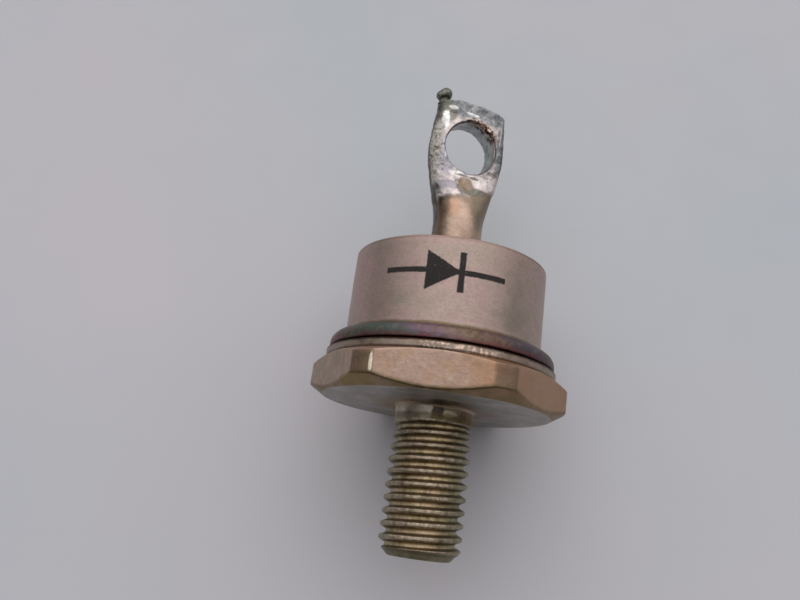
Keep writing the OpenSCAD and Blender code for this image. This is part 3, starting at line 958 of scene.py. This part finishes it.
def tube_colour(f, right, up, side):
    """Worn nickel below the solder, with a brown stain, painted shade tinted olive on its right part,
    below the solder's end and along its left edge, and darker sides that are partly painted shade.
    """
    tube = f.ramp(f.noise(0.6, 4, 0.6), (0.3, 162, 137, 120), (0.6, 194, 166, 148))
    tube = f.spotted(tube, f.noise(4, 4, 0.6), 0.45, 0.75, 0.35, (132, 112, 94))
    stained = f.patch(right, up, (-1.1, -5.4), (0.4, 0.8), f.ragged(0.9, 1.2))
    tube = f.tinted(tube, stained, 0.4, (190, 142, 106))
    # Painted shade, tinted olive, on the tube's right part.
    olive = f.patch(right, up, (1.5, -5.0), (1.3, 2.0), f.ragged(1.0, 1.0))
    tube = f.tinted(tube, olive, 0.75, (122, 112, 96))
    # Painted shade just below the solder's end, at its step.
    shade_below_solder = f.step(f.plus(up, f.ragged(1.0, 1.2)), -5.3, -4.5)
    tube = f.tinted(tube, shade_below_solder, 0.5, (128, 114, 98))
    # Painted shade along the tube's left edge.
    shaded_left_edge = f.step(f.plus(right, f.ragged(1.2, 0.5)), -1.2, -1.6)
    tube = f.tinted(tube, shaded_left_edge, 0.75, (112, 92, 76))
    # Darker sides, partly dull metal and partly painted shade.
    dark = f.ramp(f.noise(2.4, 4, 0.6), (0.35, 70, 72, 66), (0.65, 116, 108, 100))
    return f.mix(side, tube, dark)


# Patches of solder on the eye's front: middle, half width and half height, colour and strength. The
# near-white streak left of the hole and the crescent at its lower left rim are painted highlights.
SOLDER_PATCHES_AND_HIGHLIGHTS = (
    ((-2.5, 2.5), (0.9, 0.9), (132, 130, 122), 0.8),
    ((1.2, -2.75), (1.1, 0.5), (226, 215, 210), 0.65),
    # Painted highlight: curved white streak left of the hole.
    ((-2.5, 1.75), (0.3, 0.8), (250, 248, 244), 0.95),
    ((-2.0, 3.0), (0.4, 0.16), (224, 220, 214), 0.7),
    ((-1.95, 2.6), (0.3, 0.12), (90, 78, 70), 0.6),
    ((-0.3, 2.85), (0.6, 0.1), (244, 244, 242), 0.8),
    ((0.3, 2.55), (0.5, 0.08), (214, 210, 206), 0.7),
    ((-2.35, -0.6), (0.3, 1.0), (178, 174, 186), 0.8),
    ((-2.9, 0.55), (0.35, 0.4), (196, 150, 136), 0.6),
    # Painted highlight: thin white crescent at the hole's lower left rim.
    ((-2.06, -1.15), (0.12, 0.6), (252, 250, 248), 0.9),
    ((-1.95, -2.0), (0.75, 0.85), (158, 153, 160), 0.8),
    ((-0.95, -2.45), (0.7, 0.25), (250, 244, 236), 0.8),
    ((-1.5, -3.6), (0.9, 0.35), (144, 138, 148), 0.7),
    ((-2.3, -3.9), (0.4, 0.5), (170, 166, 162), 0.7),
    ((0.9, -3.8), (1.6, 0.42), (108, 106, 92), 0.85),
    ((2.5, 1.9), (0.06, 1.1), (216, 214, 206), 0.9),
    ((2.2, -1.7), (0.5, 0.18), (120, 122, 112), 0.7),
)


def face_colour(f, right, up, front, grains):
    """Mottled solder on the eye's faces, with patches, painted highlights and a drop of resin in front.
    """
    light = f.ramp(grains, (0.3, 150, 141, 140), (0.45, 192, 181, 178),
                   (0.6, 228, 215, 209), (0.75, 186, 178, 175))
    grey = f.ramp(grains, (0.3, 102, 105, 105), (0.48, 142, 143, 144),
                  (0.62, 178, 174, 176), (0.75, 122, 124, 124))
    ragged = f.ragged(1.5, 0.9)
    upper = f.step(f.plus(up, ragged), 2.1, 2.7)
    beside = f.times(f.step(f.plus(right, f.times(ragged, 0.3)), 2.1, 2.35), f.step(up, -1.9, -0.9))
    colour = f.mix(f.times(f.math("MAXIMUM", upper, beside), front), light, grey)
    for centre, size, tone, strength in SOLDER_PATCHES_AND_HIGHLIGHTS:
        patch = f.patch(right, up, centre, size, f.times(ragged, 0.55))
        colour = f.tinted(colour, f.times(patch, front), strength, tone)
    corner = f.step(f.plus(up, f.times(right, -0.9), ragged), 4.9, 5.6)
    colour = f.tinted(colour, corner, 0.8, (98, 100, 88))
    specks = f.times(f.step(f.noise(4.6, 3, 0.6), 0.5, 0.6), f.step(right, -2.5, -2.8), 0.75)
    speck_tones = f.ramp(f.noise(2.0, 2), (0.4, 120, 84, 72), (0.6, 84, 86, 78))
    colour = f.mix(specks, colour, speck_tones)
    edge = f.times(f.step(f.absolute(right), 2.72, 2.9), f.step(up, -2.6, -1.8))
    colour = f.tinted(colour, edge, 0.8, (74, 72, 70))
    drop = f.patch(right, up, (-0.15, -3.2), (0.7, 0.6), f.times(ragged, 0.9))
    resin = f.ramp(f.noise(1.7, 4, 0.6), (0.35, 98, 84, 62), (0.5, 146, 126, 104), (0.62, 164, 142, 130))
    return f.mix(f.times(drop, front, 0.95), colour, resin)


def side_colour(f):
    """Dark, dull solder with rusty spots on the eye's sides, its darkness partly painted shade."""
    dull = f.ramp(f.noise(1.9, 4, 0.6), (0.3, 66, 68, 62), (0.5, 98, 98, 90), (0.7, 132, 126, 116))
    rust = f.step(f.noise(3.2, 3, 0.6), 0.58, 0.66)
    return f.tinted(dull, rust, 0.7, (110, 74, 60))


def pierced_colour(f, colour, right, up, forward, front):
    """The colour, with the hole's wall, a burnt lip at its upper right and a dark rim."""
    thick = f.absolute(forward)
    from_hole = f.distance(right, up)
    around_hole = f.math("ARCTAN2", up, right)
    in_hole = f.times(f.step(from_hole, HOLE_R + 0.12, HOLE_R + 0.02), f.step(thick, 0.86, 0.74))
    upper_right = f.times(f.step(around_hole, 0.35, 0.6), f.step(around_hole, 1.9, 1.6))
    bore = f.ramp(f.noise(1.6), (0.35, 136, 138, 136), (0.65, 176, 178, 178))
    depth = f.plus(forward, f.ragged(2.6, 1.0))
    burnt = f.times(upper_right, f.step(depth, 0.2, 0.45), f.step(f.noise(2.8, 3, 0.6), 0.4, 0.5))
    bore = f.tinted(bore, burnt, 0.9, (60, 48, 36))
    colour = f.mix(in_hole, colour, bore)
    on_lip = f.times(f.step(from_hole, HOLE_R + 0.5, HOLE_R + 0.3), front, upper_right)
    lip_spots = f.ramp(f.noise(3.4, 3, 0.6), (0.38, 52, 40, 32), (0.47, 150, 118, 100),
                       (0.54, 236, 216, 204), (0.66, 120, 120, 116))
    colour = f.mix(f.times(on_lip, f.inverse(in_hole)), colour, lip_spots)
    rim = f.step(f.absolute(f.minus(from_hole, HOLE_R + 0.02)), 0.11, 0.05)
    rim = f.times(rim, f.inverse(upper_right), f.step(thick, 0.6, 0.8))
    return f.tinted(colour, rim, 0.85, (58, 54, 52))


def solder_and_tube():
    """Worn nickel on the tube, and mottled solder over the eye."""
    f = Finish("solder_and_tube")
    right, up, forward = eye_places(f)
    front = f.step(forward, 0.1, 0.4)
    # The narrow sides of the tube and the eye, coloured darker, partly as painted shade.
    side = f.times(f.step(f.plus(f.absolute(forward), f.ragged(1.6, 0.5)), 0.6, 0.35),
                   f.step(f.absolute(right), 1.2, 1.7))
    oxide = f.times(f.step(f.plus(right, f.ragged(1.4, 0.5)), -2.4, -2.65),
                    f.step(f.plus(forward, f.ragged(1.4, 0.6)), -0.05, 0.2),
                    f.step(up, -4.4, -3.4), f.step(up, 2.4, 1.0))
    grains = f.noise(1.3, 5, 0.62, distortion=0.6)
    pits = f.step(f.noise(3.4, 3, 0.6), 0.62, 0.7)
    pale = f.ramp(f.noise(3.4, 4, 0.65), (0.36, 104, 88, 78), (0.44, 174, 164, 152),
                  (0.56, 228, 223, 214), (0.7, 148, 145, 136))
    colour = f.mix(f.times(oxide, 0.85), face_colour(f, right, up, front, grains), pale)
    colour = f.mix(f.times(side, f.inverse(oxide)), colour, side_colour(f))
    colour = pierced_colour(f, colour, right, up, forward, front)
    colour = f.tinted(colour, pits, 0.6, (84, 70, 62))
    end = f.plus(f.times(right, -SOLDER_SLOPE), f.ragged(1.2, 0.8))
    tinned = f.step(f.plus(f.y, end), SOLDER_LOW - 0.25, SOLDER_LOW + 0.3)
    f.set("Metallic", f.inverse(f.times(oxide, tinned, 0.75)))
    roughness = f.plus(f.spread(grains, 0.24, 0.38), f.times(pits, 0.2), f.times(oxide, 0.2))
    return f.made(f.mix(tinned, tube_colour(f, right, up, side), colour), roughness,
                  f.times(grains, tinned, 0.06), f.times(f.noise(5, 4, 0.6), 0.014))


def dull_solder():
    """The bead's dark, grey-green solder."""
    f = Finish("dull_solder")
    clouds = f.noise(2.2, 4, 0.6, distortion=0.5)
    colour = f.ramp(clouds, (0.3, 60, 62, 54), (0.45, 104, 106, 96),
                    (0.58, 140, 142, 130), (0.7, 92, 92, 84))
    colour = f.spotted(colour, f.noise(4), 0.6, 0.68, 0.7, (66, 54, 46))
    return f.made(colour, f.spread(clouds, 0.3, 0.44), f.times(clouds, 0.08),
                  f.times(f.noise(5, 3, 0.6), 0.014))


# Finishes of the pieces inside the can

def plain_metal(name, dark, light, roughness):
    """A mottled metal with a fine grain."""
    f = Finish(name)
    clouds = f.noise(2, 4, 0.6)
    colour = f.ramp(clouds, (0.35, *dark), (0.65, *light))
    rough = f.spread(clouds, roughness, roughness + 0.12)
    return f.made(colour, rough, f.times(f.noise(8, 4, 0.6), 0.006))


def stranded_copper():
    """Copper strands that wind round the lead."""
    f = Finish("stranded_copper")
    strands = f.math("SINE", f.times(f.plus(f.y, f.times(f.angle(), 1.2)), 9.0))
    colour = f.ramp(f.step(strands, -1, 1), (0.2, 120, 66, 44), (0.8, 214, 142, 112))
    return f.made(colour, f.spread(f.noise(3), 0.3, 0.42), f.times(strands, 0.03))


def polished_silicon():
    f = Finish("polished_silicon", Metallic=0.6)
    colour = f.ramp(f.noise(1.2), (0.35, 70, 76, 88), (0.65, 96, 102, 114))
    return f.made(colour, f.spread(f.noise(3), 0.12, 0.2), f.times(f.noise(8, 2), 0.001))


def silicone_rubber():
    f = Finish("silicone_rubber", Metallic=0.0)
    colour = f.ramp(f.noise(1.5), (0.35, 206, 200, 190), (0.65, 226, 220, 212))
    return f.made(colour, f.spread(f.noise(3), 0.42, 0.6), f.times(f.noise(2.5), 0.02))


# Floor, room light and camera

def make_floor():
    """A pale floor, larger than any view."""
    half_side = 400
    cells = 40
    side = np.linspace(-half_side, half_side, cells + 1)
    points = [(x, y, base_low.z) for y in side for x in side]
    row = cells + 1
    faces = [
        (i * row + j, i * row + j + 1, (i + 1) * row + j + 1, (i + 1) * row + j)
        for i in range(cells) for j in range(cells)
    ]
    mesh = bpy.data.meshes.new("floor")
    mesh.from_pydata((np.array(points) * MM).tolist(), [], faces)
    floor = bpy.data.objects.new("floor", mesh)
    scene.collection.objects.link(floor)
    f = Finish("pale_floor", Metallic=0.0)
    colour = f.ramp(f.noise(0.02), (0.35, 214, 218, 222), (0.65, 226, 221, 226))
    mesh.materials.append(f.made(colour, f.spread(f.noise(0.3), 0.6, 0.75)))


def make_world():
    """A soft room: brightest between overhead and +Y, and dark towards -Y and below."""
    world = bpy.data.worlds.new("soft_room")
    scene.world = world
    world.use_nodes = True
    nodes, links = world.node_tree.nodes, world.node_tree.links
    coords = nodes.new("ShaderNodeTexCoord")
    toward = nodes.new("ShaderNodeVectorMath")
    toward.operation = "DOT_PRODUCT"
    toward.inputs[1].default_value = BRIGHT_SIDE
    ramp = nodes.new("ShaderNodeValToRGB")
    for place, level in ROOM_LEVELS[2:]:
        ramp.color_ramp.elements.new(place)
    for element, (place, level) in zip(ramp.color_ramp.elements, ROOM_LEVELS):
        element.position = place
        element.color = (level, level, level * 1.02, 1)
    links.new(coords.outputs["Generated"], toward.inputs[0])
    links.new(toward.outputs["Value"], ramp.inputs[0])
    links.new(ramp.outputs[0], nodes["Background"].inputs[0])


def make_camera():
    """The photograph's view: nearly straight down, a little from the stud's side."""
    place = Vector((2.757, -7.66, 55.91))
    target = Vector((-3.679, 8.153, 0))
    up = Vector((-0.1001, 0.9544, 0.2814))
    back = (place - target).normalized()
    right = up.cross(back).normalized()
    data = bpy.data.cameras.new("camera")
    data.sensor_width = 36
    data.lens = 33.63
    data.clip_start = 1 * MM
    data.clip_end = 10
    camera = bpy.data.objects.new("camera", data)
    rotation = Matrix((right, back.cross(right), back)).transposed()
    camera.matrix_world = Matrix.LocRotScale(place * MM, rotation, None)
    scene.collection.objects.link(camera)
    scene.camera = camera


# The scene

def finished(piece, node, material):
    """Puts a piece in a CAD node's place, with its finish."""
    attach(piece, "root")
    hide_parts(node)
    piece.data.materials.append(material)


make_camera()
make_world()
make_floor()

finished(make_base(), "stud_base", plated_base())
finished(make_ring(), "weld_ring", weld_steel())
finished(make_can(), "can", nickel_can())
finished(make_glass(), "glass_seal", sealed_glass())
finished(make_terminal(), "terminal", solder_and_tube())
finished(make_bead(), "solder_bead", dull_solder())

inner_solder = plain_metal("inner_solder", (120, 122, 124), (168, 170, 172), 0.3)
molybdenum = plain_metal("molybdenum", (112, 114, 118), (146, 148, 152), 0.34)
copper = plain_metal("copper", (176, 104, 80), (212, 140, 112), 0.3)
INNER = {
    "base_solder": inner_solder, "lower_disc": molybdenum, "lower_chip_solder": inner_solder,
    "silicon_chip": polished_silicon(), "upper_chip_solder": inner_solder,
    "upper_disc": molybdenum, "chip_coating": silicone_rubber(), "lead_solder": inner_solder,
    "lead_foot": copper, "inner_lead": stranded_copper(),
}
for node, material in INNER.items():
    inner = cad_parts[node]
    inner.data.materials.clear()
    inner.data.materials.append(material)

scene.view_settings.view_transform = "Standard"
